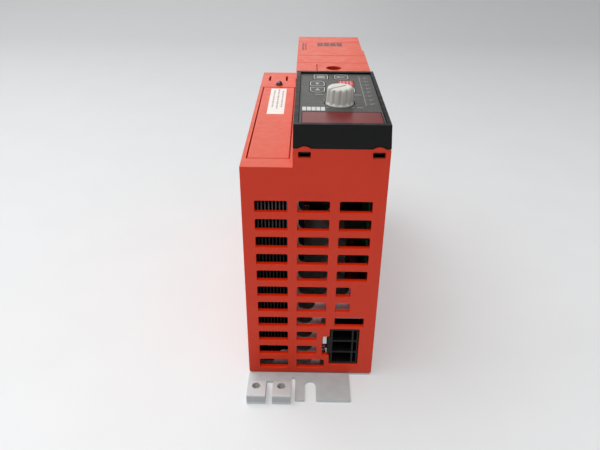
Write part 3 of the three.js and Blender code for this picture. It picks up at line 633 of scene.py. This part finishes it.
def shell(name, node, body, edge, corner_radii=(), cutters=(), least_area=16):
    """Visible shell for a CAD node: rounded opening corners, carved holes, then eased edges."""
    mesh = block_mesh(NODES[node], least_area)
    layer = mesh.edges.layers.float.new("bevel_weight_edge")
    largest = max([radius for _, radius in corner_radii], default=0)
    for corner_edge in mesh.edges:
        for wanted, radius in corner_radii:
            if wanted(*(v.co for v in corner_edge.verts)):
                corner_edge[layer] = radius / largest
    bmesh.ops.scale(mesh, vec=(MM, MM, MM), verts=mesh.verts)
    data = bpy.data.meshes.new(name)
    mesh.to_mesh(data)
    mesh.free()
    piece = bpy.data.objects.new(name, data)
    bpy.context.scene.collection.objects.link(piece)
    if largest:
        corners = piece.modifiers.new("corners", "BEVEL")
        corners.width = largest * MM
        corners.segments = 4
        corners.limit_method = "WEIGHT"
        corners.use_clamp_overlap = False
        keep_modified(piece)
    for cutter in cutters:
        carve(piece, cutter)
    piece.data.polygons.foreach_set("use_smooth", [True] * len(piece.data.polygons))
    edges = piece.modifiers.new("edges", "BEVEL")
    edges.width = edge * MM
    edges.segments = 3
    edges.limit_method = "ANGLE"
    edges.angle_limit = CORNER_ANGLE
    edges.use_clamp_overlap = False
    edges.harden_normals = True
    keep_modified(piece)
    piece.data.materials.clear()
    piece.data.materials.append(skin("orange_shell"))
    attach(piece, body)
    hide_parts(node)


def keep_modified(piece):
    """Makes the modified shape the piece's own mesh."""
    bpy.context.view_layer.update()
    shown = piece.evaluated_get(bpy.context.evaluated_depsgraph_get())
    made = bpy.data.meshes.new_from_object(shown)
    piece.modifiers.clear()
    piece.data = made


def carve(piece, cutter_mesh):
    """Cuts a closed shape, in millimetres, out of a piece."""
    bmesh.ops.scale(cutter_mesh, vec=(MM, MM, MM), verts=cutter_mesh.verts)
    bmesh.ops.recalc_face_normals(cutter_mesh, faces=cutter_mesh.faces)
    mesh = bpy.data.meshes.new("cutter")
    cutter_mesh.to_mesh(mesh)
    cutter_mesh.free()
    cutter = bpy.data.objects.new("cutter", mesh)
    bpy.context.scene.collection.objects.link(cutter)
    cut = piece.modifiers.new("cut", "BOOLEAN")
    cut.operation = "DIFFERENCE"
    cut.solver = "EXACT"
    cut.object = cutter
    keep_modified(piece)
    bpy.data.objects.remove(cutter)


def hole(x, u, low, high, radius):
    """Upright round cutter."""
    return Piece().turned((x, NEAR + u, 0), [(radius, low), (radius, high)], "Z", 48).mesh


def slit(x0, x1, u0, u1, low, high):
    """Upright square-cornered cutter."""
    return Piece().box((x0, NEAR + u0, low), (x1, NEAR + u1, high)).mesh


def through_wall(wall_low, wall_high):
    """Picks edges that run along Y through a wall between two places."""
    def wanted(first, second):
        low, high = sorted((first.y, second.y))
        square = abs(first.x - second.x) + abs(first.z - second.z) < SAME_PLACE
        return square and abs(low - wall_low) < 0.05 and abs(high - wall_high) < 0.05
    return wanted


def housing():
    """Both shells and both covers as clean moulded skins, with the rests under the keypad frame."""
    top = SHELL_HIGH.z
    screw_access = hole(14.4, 132.5, 160, 170, 5.3)
    keypad_slit = slit(2.2, 2.7, 125, 143, top - 0.7, top + 1)
    near_wall = through_wall(NEAR, NEAR + NEAR_WALL)
    shell("main_shell_skin", "main_shell", "base", 0.3, [(near_wall, 0.8)], [screw_access, keypad_slit], 14)

    light_pipe_hole = hole(LENS_CENTRE.x, LENS_CENTRE.y - NEAR, 140, 152, LENS_R + 0.3)
    narrow_slots = [
        slit(x - 0.7, x + 0.7, 164.4, 176.6, LOW_STEP - 5, LOW_STEP + 1)
        for x in (-33.8, -20.6)
    ]
    far_wall = through_wall(FAR - FAR_WALL, FAR)
    shell("extension_shell_skin", "extension_shell", "base", 0.35, [(far_wall, 0.8)],
          [light_pipe_hole, *narrow_slots])
    shell("terminal_cover_skin", "terminal_cover", "terminal_cover", 0.35)
    shell("option_cover_skin", "option_cover", "option_cover", 0.3)
    keypad_rests()


def keypad_rests():
    """Low arched pads of the shell over the latch slots, where the keypad frame is cut away."""
    half_width, arch, foot = 3.6, 1.3, 0.6
    seat = FRAME_FOOT - 0.3
    steps = 10
    pads = Piece()
    for latch in ("keypad_latch_left", "keypad_latch_right"):
        low, high = extent(latch)
        x = (low.x + high.x) / 2
        outline = [(x - half_width, seat - foot), (x + half_width, seat - foot)]
        for k in range(steps + 1):
            across = half_width * (1 - 2 * k / steps)
            outline.append((x + across, seat + arch * math.sin(math.pi * k / steps)))
        pads.loft([[(a, NEAR + u, z) for a, z in outline] for u in (-0.02, 2.2)])
    pads.finish("keypad_rests", "base", "orange_shell", slot="orange_shell")


housing()


# ---- knob

FLUTES = 12
STEPS_PER_FLUTE = 14
POINTER_ANGLE = math.radians(219)
POINTER_TAIL = 4.2


def knob():
    """Fluted grip on a thin flange, with a pointer groove across its top."""
    centre = Vector((KNOB_CENTRE.x, KNOB_CENTRE.y, 0))
    base, top = KNOB_LOW.z, KNOB_HIGH.z
    steps = FLUTES * STEPS_PER_FLUTE
    # Height, radius and flute depth of each ring, from inside the foot round to the crown's middle.
    rings = [
        (base, 3.4, 0), (base, 7.9, 0), (base + 0.25, 8.1, 0), (base + 1.0, 8.05, 0), (base + 1.2, 7.95, 0),
        (base + 1.4, 7.8, 0.3), (base + 1.7, 7.75, 0.9), (base + 3, 7.7, 1.1), (top - 2.4, 7.45, 1.1),
        (top - 1.7, 7.38, 1.0), (top - 1.2, 7.28, 0.75), (top - 0.75, 7.08, 0.5), (top - 0.38, 6.78, 0.3),
        (top - 0.12, 6.36, 0.12), (top, 5.8, 0), (top - 0.02, 5, 0), (top - 0.12, 2.5, 0),
        (top - 0.16, 0.6, 0),
    ]
    piece = Piece()
    loops = []
    for height, radius, depth in rings:
        loop = []
        for k in range(steps):
            angle = 2 * math.pi * k / steps
            flute = max(0.0, math.cos(FLUTES * angle)) ** 1.3
            reach = radius - depth * flute
            loop.append(centre + Vector((reach * math.cos(angle), reach * math.sin(angle), height)))
        loops.append(loop)
    piece.loft(loops)
    body = piece.finish("knob_grip", "knob", "knob_ivory", slot="knob_ivory", replaces=["knob"], smooth=50)
    groove = bmesh.new()
    bmesh.ops.create_cube(groove, size=1)
    length, width, depth = 14, 1.35, 1.8
    place = (
        Matrix.Translation(centre + Vector((0, 0, top)))
        @ Matrix.Rotation(POINTER_ANGLE, 4, "Z")
        @ Matrix.Translation((length / 2 - POINTER_TAIL, 0, 0))
        @ Matrix.Diagonal((length, width, depth, 1))
    )
    bmesh.ops.transform(groove, matrix=place, verts=groove.verts)
    carve(body, groove)


knob()


# ---- parts seen through the openings

def earth_threads():
    """Cut thread inside both earth terminal blocks."""
    pitch, turns, per_turn = 0.7, 7, 16
    radius, wire = 2.05, 0.26
    y, foot = NEAR - 17, 0.9
    for name, x in (("earth_thread_left", -33.95), ("earth_thread_right", -18.2)):
        path = []
        for k in range(turns * per_turn + 1):
            angle = 2 * math.pi * k / per_turn
            rise = foot + pitch * k / per_turn
            path.append((x + radius * math.cos(angle), y + radius * math.sin(angle), rise))
        Piece().tube(path, wire, 6).finish(name, "base", "tinned_metal")


def choke():
    """Wire wound round most of a ring core."""
    low, high = extent("mains_choke")
    centre = (low + high) / 2
    ring, core, wire, turns = 10.0, 3.7, 0.62, 30
    wound_share, start_angle = 0.86, 0.5
    piece = Piece()
    rings = []
    for k in range(48):
        a = 2 * math.pi * k / 48
        out = Vector((0, math.cos(a), math.sin(a)))
        loop = []
        for j in range(16):
            b = 2 * math.pi * j / 16
            loop.append(centre + out * (ring + core * math.cos(b)) + Vector((core * math.sin(b), 0, 0)))
        rings.append(loop)
    piece.loft(rings + rings[:1], False)
    path = []
    per_turn = 14
    for k in range(turns * per_turn):
        a = 2 * math.pi * wound_share * k / (turns * per_turn) + start_angle
        b = 2 * math.pi * k / per_turn
        out = Vector((0, math.cos(a), math.sin(a)))
        reach = core + wire * 0.75
        path.append(centre + out * (ring + reach * math.cos(b)) + Vector((reach * math.sin(b), 0, 0)))
    piece.tube(path, wire, 8, skin_index=1)
    piece.finish("choke_winding", "base", "ferrite", "choke_copper", slot="choke_copper",
                 replaces=["mains_choke"])


def capacitors():
    """Sleeved cans: bare top with a scored vent, rolled groove near the foot."""
    for k in (1, 2, 3):
        low, high = extent(f"link_capacitor_{k}")
        centre = (low + high) / 2
        radius = (high.z - low.z) / 2
        length = high.x - low.x
        place = Vector((low.x, centre.y, centre.z))
        profile = [
            (0.5, 0.55), (radius - 2.2, 0.55), (radius - 2, 0.2), (radius - 1.2, 0),
            (radius - 0.4, 0.3), (radius, 1.1),
            (radius, length - 5.4), (radius - 0.7, length - 4.6),
            (radius - 0.7, length - 4.2), (radius, length - 3.4),
            (radius, length - 0.5), (radius - 0.5, length),
        ]
        sleeve = Piece().turned(place, profile, "X", 48)
        sleeve.finish(f"capacitor_sleeve_{k}", "base", "capacitor_sleeve", slot="capacitor_sleeve",
                      replaces=[f"link_capacitor_{k}"])
        disc = [(radius - 2.3, 0.7), (radius - 2.3, 0.35), (radius - 2.6, 0.25)]
        top = Piece().turned(place, disc, "X", 48)
        reach, half_width = radius - 4, 0.3
        near, far = place + Vector((0.12, 0, 0)), place + Vector((0.3, 0, 0))
        across = Vector((0, reach, half_width))
        for turn in (0, 60, 120):
            top.box(near - across, far + across, 0.05, 1, Matrix.Rotation(math.radians(turn), 4, "X"))
        top.finish(f"capacitor_top_{k}", "base", "can_aluminium")


def fan():
    """Rotor with swept blades on a cupped hub."""
    low, high = extent("fan_rotor")
    centre = (low + high) / 2
    front, back = low.y, high.y
    hub = Piece().turned((centre.x, 0, centre.z), [
        (6.8, front), (7.6, front + 0.3), (8, front + 1.1), (8, back - 0.4), (7.6, back)], "Y", 48)
    blades, sections = 7, 6
    root, span, half_thickness, margin = 7.6, 10, 0.45, 1.2
    for k in range(blades):
        rows = []
        for j in range(sections + 1):
            share = j / sections
            radius = root + span * share
            twist = 0.62 - 0.16 * share
            sweep = 0.1 * share * share
            rim = []
            for y_share, side in ((0, 1), (0.5, 1), (1, 1), (1, -1), (0.5, -1), (0, -1)):
                y = front + margin + (back - front - 2 * margin) * y_share
                bow = 0.1 * math.sin(math.pi * y_share)
                angle = 2 * math.pi * k / blades + twist * (y_share - 0.5) + bow - sweep
                across = angle + side * half_thickness / radius
                rim.append((centre.x + radius * math.cos(across), y, centre.z + radius * math.sin(across)))
            rows.append(rim)
        hub.loft(rows)
    hub.finish("fan_blades", "fan_rotor", "black_plastic", slot="black_plastic", replaces=["fan_rotor"])


def notch_parts():
    """Clamp screw and a small wound part beside the mains connector."""
    Piece().turned((9.8, NEAR + 1.0, 21.3), [(0.5, 0), (0.75, 0.2), (0.75, 1.6)], "Y", 24).finish(
        "notch_screw", "base", "tinned_metal")
    Piece().turned((8.4, NEAR + 1.4, 23.2), [(0.7, 0), (1.1, 0.4), (1.1, 6)], "Y", 24).finish(
        "notch_resistor", "base", "resistor_brown")
    clip = Piece().box((7.5, NEAR + 1.6, 20), (8.5, NEAR + 3, 20.4), 0.12)
    clip.box((9.7, NEAR + 1.6, 17.6), (10.3, NEAR + 4, 20), 0.1)
    clip.finish("notch_clip", "base", "tinned_metal")


def duct_baffle():
    """Sheet with a slanting edge at the foot of the cooling duct, and a small tab beside it."""
    slant = [(-25.6, 3.2), (-13.2, 3.2), (-13.2, 15.4), (-19.2, 15.4)]
    front, back = NEAR + 6.2, NEAR + 7
    piece = Piece().loft([[(x, y, z) for x, z in slant] for y in (front, back)])
    piece.box((-31.6, front, 8.4), (-28.6, back, 11.4), 0.3)
    piece.finish("duct_baffle", "base", "sheet_steel", slot="sheet_steel", smooth=30)


def terminal_screws():
    """Slotted screws over the wire entries, and the sliders of the setting switches."""
    high = extent("signal_terminal")[1]
    ways, pitch, first = 9, 4, -1.9
    y, top = high.y - 3.6, high.z
    screws = Piece()
    for k in range(ways):
        x = first + pitch * k
        screws.turned((x, y, top - 0.25), [(1.25, 0), (1.25, 0.35), (1.1, 0.5)], "Z", 24)
        slot_low, slot_high = (x - 1.2, y - 0.16, top + 0.1), (x + 1.2, y + 0.16, top + 0.28)
        screws.box(slot_low, slot_high, 0.03, 1, skin_index=1)
    screws.finish("terminal_screws", "base", "tinned_metal", "chip_black")
    low, high = extent("setting_switches")
    sliders = Piece()
    for k in range(6):
        x = low.x + 1.8 + 2.54 * k
        y = low.y + (2.4 if k % 2 else 4.2)
        sliders.box((x - 0.7, y - 0.8, high.z - 0.3), (x + 0.7, y + 0.8, high.z + 0.55), 0.12)
    sliders.finish("switch_sliders", "base", "print_white")


# Board node, piece name, reach of the parts along it, and areas kept free: (x0, x1, u0, u1).
BOARDS = (
    ("control_board", "control_parts", 14, 142, ((4, 24, 80, 96), (7, 22, 124, 141))),
    ("terminal_board", "terminal_parts", 157, 224, ((-8, 36, 174, 208),)),
)
# How many parts of a kind, their width, length and height, and their skin.
BOARD_PARTS = ((7, 9, 9, 1.4, 0), (10, 5, 6, 1.5, 0), (60, 1.3, 2.2, 0.7, 1))
CHIP, LEAD = 0, 2
LEAD_PITCH = 1.3
MOST_TRIES = 400


def board_parts():
    """Chips and small passives on the two front boards, clear of the larger parts."""
    draw = random.Random(11)
    for board, name, low_u, high_u, keep in BOARDS:
        low, high = extent(board)
        piece = Piece()
        top = high.z
        placed = list(keep)
        for count, width, length, height, index in BOARD_PARTS:
            made, tries = 0, 0
            while made < count and tries < MOST_TRIES:
                tries += 1
                x = draw.uniform(low.x + 2, high.x - 2 - width)
                u = draw.uniform(low_u, high_u - length)
                if not all(x + width < a or x > b or u + length < c or u > d for a, b, c, d in placed):
                    continue
                placed.append((x - 0.5, x + width + 0.5, u - 0.5, u + length + 0.5))
                y = NEAR + u
                place, size = Vector((x, y, top - 0.05)), Vector((width, length, height + 0.05))
                piece.box(place, place + size, 0.15, 1, skin_index=index)
                if index == CHIP:
                    chip_leads(piece, x, x + width, y, length, top)
                made += 1
        piece.finish(name, "base", "chip_black", "chip_tan", "tinned_metal")


def chip_leads(piece, x0, x1, y, length, top):
    """Rows of leads down both long sides of a chip."""
    for k in range(int(length // LEAD_PITCH)):
        lead = y + 0.6 + LEAD_PITCH * k
        for a, b in ((x0 - 0.45, x0 + 0.1), (x1 - 0.1, x1 + 0.45)):
            piece.box((a, lead, top), (b, lead + 0.5, top + 0.5), skin_index=LEAD)


earth_threads()
choke()
capacitors()
fan()
notch_parts()
duct_baffle()
terminal_screws()
board_parts()


# ---- prints on the keypad

# A print stands this far proud of its surface and reaches this far into it.
PRINT = 0.05
SUNK = 0.02
OUTLINE_INSET = 0.3
OUTLINE_WIDTH = 0.38
# Corner radii of each key: near right, far right, far left, near left.
KEY_RADII = {
    "key_up": (1, 4.2, 4.2, 1), "key_down": (4.2, 1, 1, 4.2), "key_out": (1.6, 1.6, 1.6, 1.6),
    "key_enter": (3, 3, 3, 3), "key_stop": (1.2, 1.2, 1.2, 1.2), "key_run": (2.4, 2.4, 2.4, 2.4),
}


def key_outline(low, high, radii, inset):
    """Outline of a key's cap, drawn in by an inset."""
    eased = [max(0.3, r - inset) for r in radii]
    return rounded(low.x + inset, high.x - inset, low.y + inset, high.y - inset, eased)


def bar(piece, x0, x1, y0, y1, radius, top, proud=PRINT):
    """Printed bar with rounded ends."""
    piece.plate(rounded(x0, x1, y0, y1, radius), top - SUNK, top + proud)


def key_prints():
    """Outline and symbol of each key: arrows, bars, a bent arrow, a grille and a dot."""
    for name, radii in KEY_RADII.items():
        low, high = extent(name)
        top = high.z
        x, y = (low.x + high.x) / 2, (low.y + high.y) / 2
        piece = Piece()
        if name != "key_stop":
            outer = key_outline(low, high, radii, OUTLINE_INSET)
            inner = key_outline(low, high, radii, OUTLINE_INSET + OUTLINE_WIDTH)
            piece.band(outer, inner, top - SUNK, top + PRINT)
        if name in ("key_up", "key_down"):
            way = 1 if name == "key_up" else -1
            tip = [(x - 1.7, y + way * 0.2), (x + 1.7, y + way * 0.2), (x, y + way * 2.6)]
            piece.plate(tip[::way], top - SUNK, top + PRINT)
            bar(piece, x - 0.55, x + 0.55, y - 2.4, y + 2.4, 0.2, top)
        elif name == "key_out":
            for k in (-1, 0, 1):
                bar(piece, x - 2.6, x + 2.6, y + 1.9 * k - 0.4, y + 1.9 * k + 0.4, 0.2, top)
        elif name == "key_enter":
            bar(piece, x - 2.6, x + 2.2, y - 0.4, y + 0.4, 0.2, top)
            tip = [(x - 1.4, y - 1.8), (x - 1.4, y + 1.8), (x - 3.4, y)]
            piece.plate(tip, top - SUNK, top + PRINT)
        elif name == "key_stop":
            for k in range(4):
                a = x - 3.6 + 2.1 * k
                bar(piece, a, a + 0.7, y - 3.6, y + 4.4, 0.2, top)
        else:
            bar(piece, x - 2, x + 2, y - 2, y + 2, 2, top)
        piece.finish(f"{name}_print", name, "print_pink" if name == "key_stop" else "print_white")


def keypad_prints():
    """Dial ticks, a parameter column and plain bars, with no lettering."""
    # Row of plain blocks in the corner beside the window.
    blocks = Piece()
    for k in range(5):
        x0 = -7 + 2.6 * k
        bar(blocks, x0, x0 + 2.2, NEAR + 25.4, NEAR + 31.6, 0.3, FILM)
    blocks.finish("keypad_blocks", "keypad", "print_white")
    # Parameter column: a long line with short ticks, each with two plain bars beside it.
    piece = Piece()
    bar(piece, 28.8, 29.15, NEAR + 34, NEAR + 95, 0.1, FILM)
    for k in range(8):
        y = NEAR + 37.5 + 7.6 * k
        bar(piece, 29.15, 30.6, y - 0.2, y + 0.2, 0.1, FILM)
        bar(piece, 31.4, 33.0, y - 0.9, y - 0.3, 0.15, FILM)
        bar(piece, 31.4, 34.4, y + 0.4, y + 0.9, 0.15, FILM)
    dial_ticks(piece)
    for x, u, width in ((0.4, 55, 4.6), (23.6, 54.5, 4.2), (23.6, 31.2, 3.2)):
        bar(piece, x, x + width, NEAR + u - 0.45, NEAR + u + 0.45, 0.2, FILM)
    piece.finish("keypad_print", "keypad", "print_grey")


def dial_ticks(piece):
    """Dial scale round the knob, open towards the near side, with a longer tick at every fifth."""
    centre = Vector((KNOB_CENTRE.x, KNOB_CENTRE.y, 0))
    for k in range(11):
        angle = math.radians(-50 + 28 * k)
        long = k % 5 == 0
        way = Vector((math.cos(angle), math.sin(angle), 0))
        side = Vector((-way.y, way.x, 0)) * (0.28 if long else 0.2)
        start = centre + way * 10.2
        end = centre + way * (12.0 if long else 11.2)
        corners = (start - side, end - side, end + side, start + side)
        piece.plate([(c.x, c.y) for c in corners], FILM - SUNK, FILM + PRINT)


def lens():
    """Smoky dome on the end of the light pipe."""
    shoulder = LOW_STEP + 0.2
    rise = LENS_HIGH.z - shoulder
    profile = [(LENS_R, LENS_LOW.z), (LENS_R, shoulder)]
    for k in range(1, 9):
        angle = math.radians(90 * k / 8.5)
        profile.append((LENS_R * math.cos(angle), shoulder + rise * math.sin(angle)))
    piece = Piece().turned((LENS_CENTRE.x, LENS_CENTRE.y, 0), profile, "Z", 40)
    piece.finish("lens_dome", "base", "lens_smoke", slot="lens_smoke", replaces=["status_lens"])


key_prints()
keypad_prints()
lens()


# ---- prints on the housing

def block_prints():
    """Plain dark blocks where the housing carries its printed mark."""
    top = extent("terminal_cover")[1].z
    piece = Piece()
    for k in range(4):
        x0 = 3.4 + 5.3 * k
        bar(piece, x0, x0 + 4.6, NEAR + 201, NEAR + 213, 0.4, top)
    for k in range(6):
        y0 = NEAR + 187 + 4.3 * k
        bar(piece, -8.9, -7.5, y0, y0 + 3.4, 0.3, top)
        bar(piece, -6.7, -5.3, y0 + 0.6, y0 + 3.0, 0.3, top)
    piece.finish("cover_print", "terminal_cover", "print_dark")


def label_prints():
    """Faint rows of plain dashes on the paper label."""
    low, high = extent("blank_label")
    draw = random.Random(4)
    piece = Piece()
    for column in range(3):
        x = low.x + 2.4 + 3.1 * column
        y = low.y + 14 - 3 * (column == 1)
        while y < high.y - 6:
            length = draw.uniform(1.6, 4.4)
            bar(piece, x, x + 1.1, y, y + length, 0.2, high.z, 0.03)
            y += length + draw.uniform(0.7, 1.4)
    piece.finish("label_print", "option_cover", "print_label")


block_prints()
label_prints()


# ---- floor, light and camera

def stage_floor():
    """Wide pale floor, with painted shade that darkens it with distance."""
    bm = bmesh.new()
    bmesh.ops.create_circle(bm, cap_ends=True, radius=9, segments=96)
    mesh = bpy.data.meshes.new("floor")
    bm.to_mesh(mesh)
    bm.free()
    floor = bpy.data.objects.new("floor", mesh)
    floor.location.z = -0.05 * MM
    bpy.context.scene.collection.objects.link(floor)
    finish = Finish("floor_white", rgb(192, 194, 195), 0.6)
    finish.mottle(60, 0.012)
    # Painted shade: the floor is tinted darker further back.
    painted_far_shade = finish.ramp(finish.axis("Y"), -0.15, 0.9, 0.0, 0.55)
    finish.tint(painted_far_shade, rgb(120, 120, 122))
    # The floor glows in its painted colour, painted shade included.
    finish.link(finish.painted, finish.shader.inputs["Emission Color"])
    finish.grain(3, 0.02)
    finish.set(Emission_Strength=0.55)
    mesh.materials.append(finish.material)


def area_light(name, place, aim, size, power):
    """Rectangular lamp in metres and watts, aimed at a point."""
    data = bpy.data.lights.new(name, "AREA")
    data.shape = "RECTANGLE"
    data.size, data.size_y = size
    data.energy = power
    light = bpy.data.objects.new(name, data)
    light.location = place
    light.rotation_mode = "QUATERNION"
    light.rotation_quaternion = (Vector(aim) - Vector(place)).to_track_quat("-Z", "Y")
    bpy.context.scene.collection.objects.link(light)


def world_light(strength):
    world = bpy.data.worlds.new("studio")
    bpy.context.scene.world = world
    world.use_nodes = True
    sky = world.node_tree.nodes["Background"]
    sky.inputs["Color"].default_value = (1.0, 0.99, 0.985, 1)
    sky.inputs["Strength"].default_value = strength


def camera():
    """Camera looking down on the near end. Yaw is positive to the right and pitch downwards."""
    place = Vector((-4.15, -385.73, 272.74)) * MM
    yaw, pitch, roll = math.radians(-0.675), math.radians(29.99), math.radians(0.43)
    ahead = Vector((math.sin(yaw) * math.cos(pitch), math.cos(yaw) * math.cos(pitch), -math.sin(pitch)))
    right = Vector((math.cos(yaw), -math.sin(yaw), 0))
    up = right.cross(ahead)
    tilted_right = math.cos(roll) * right + math.sin(roll) * up
    tilted_up = math.cos(roll) * up - math.sin(roll) * right
    data = bpy.data.cameras.new("camera")
    data.sensor_width = 36
    data.lens = 34.01
    data.clip_start, data.clip_end = 0.01, 50
    shot = bpy.data.objects.new("camera", data)
    turn = Matrix((tilted_right, tilted_up, -ahead)).transposed().to_4x4()
    shot.matrix_world = Matrix.Translation(place) @ turn
    bpy.context.scene.collection.objects.link(shot)
    bpy.context.scene.camera = shot


stage_floor()
world_light(0.36)
area_light("key", (-0.75, 0.3, 1.3), (-0.05, 0, 0.05), (1.4, 1.1), 13)
area_light("window", (-0.9, 2.4, 1.0), (0, 0, 0.15), (2.6, 1.3), 11)
area_light("fill", (-0.25, -0.75, 2.0), (0, -0.1, 0.05), (1.4, 1.0), 14)
camera()
bpy.context.scene.view_settings.view_transform = "Standard"
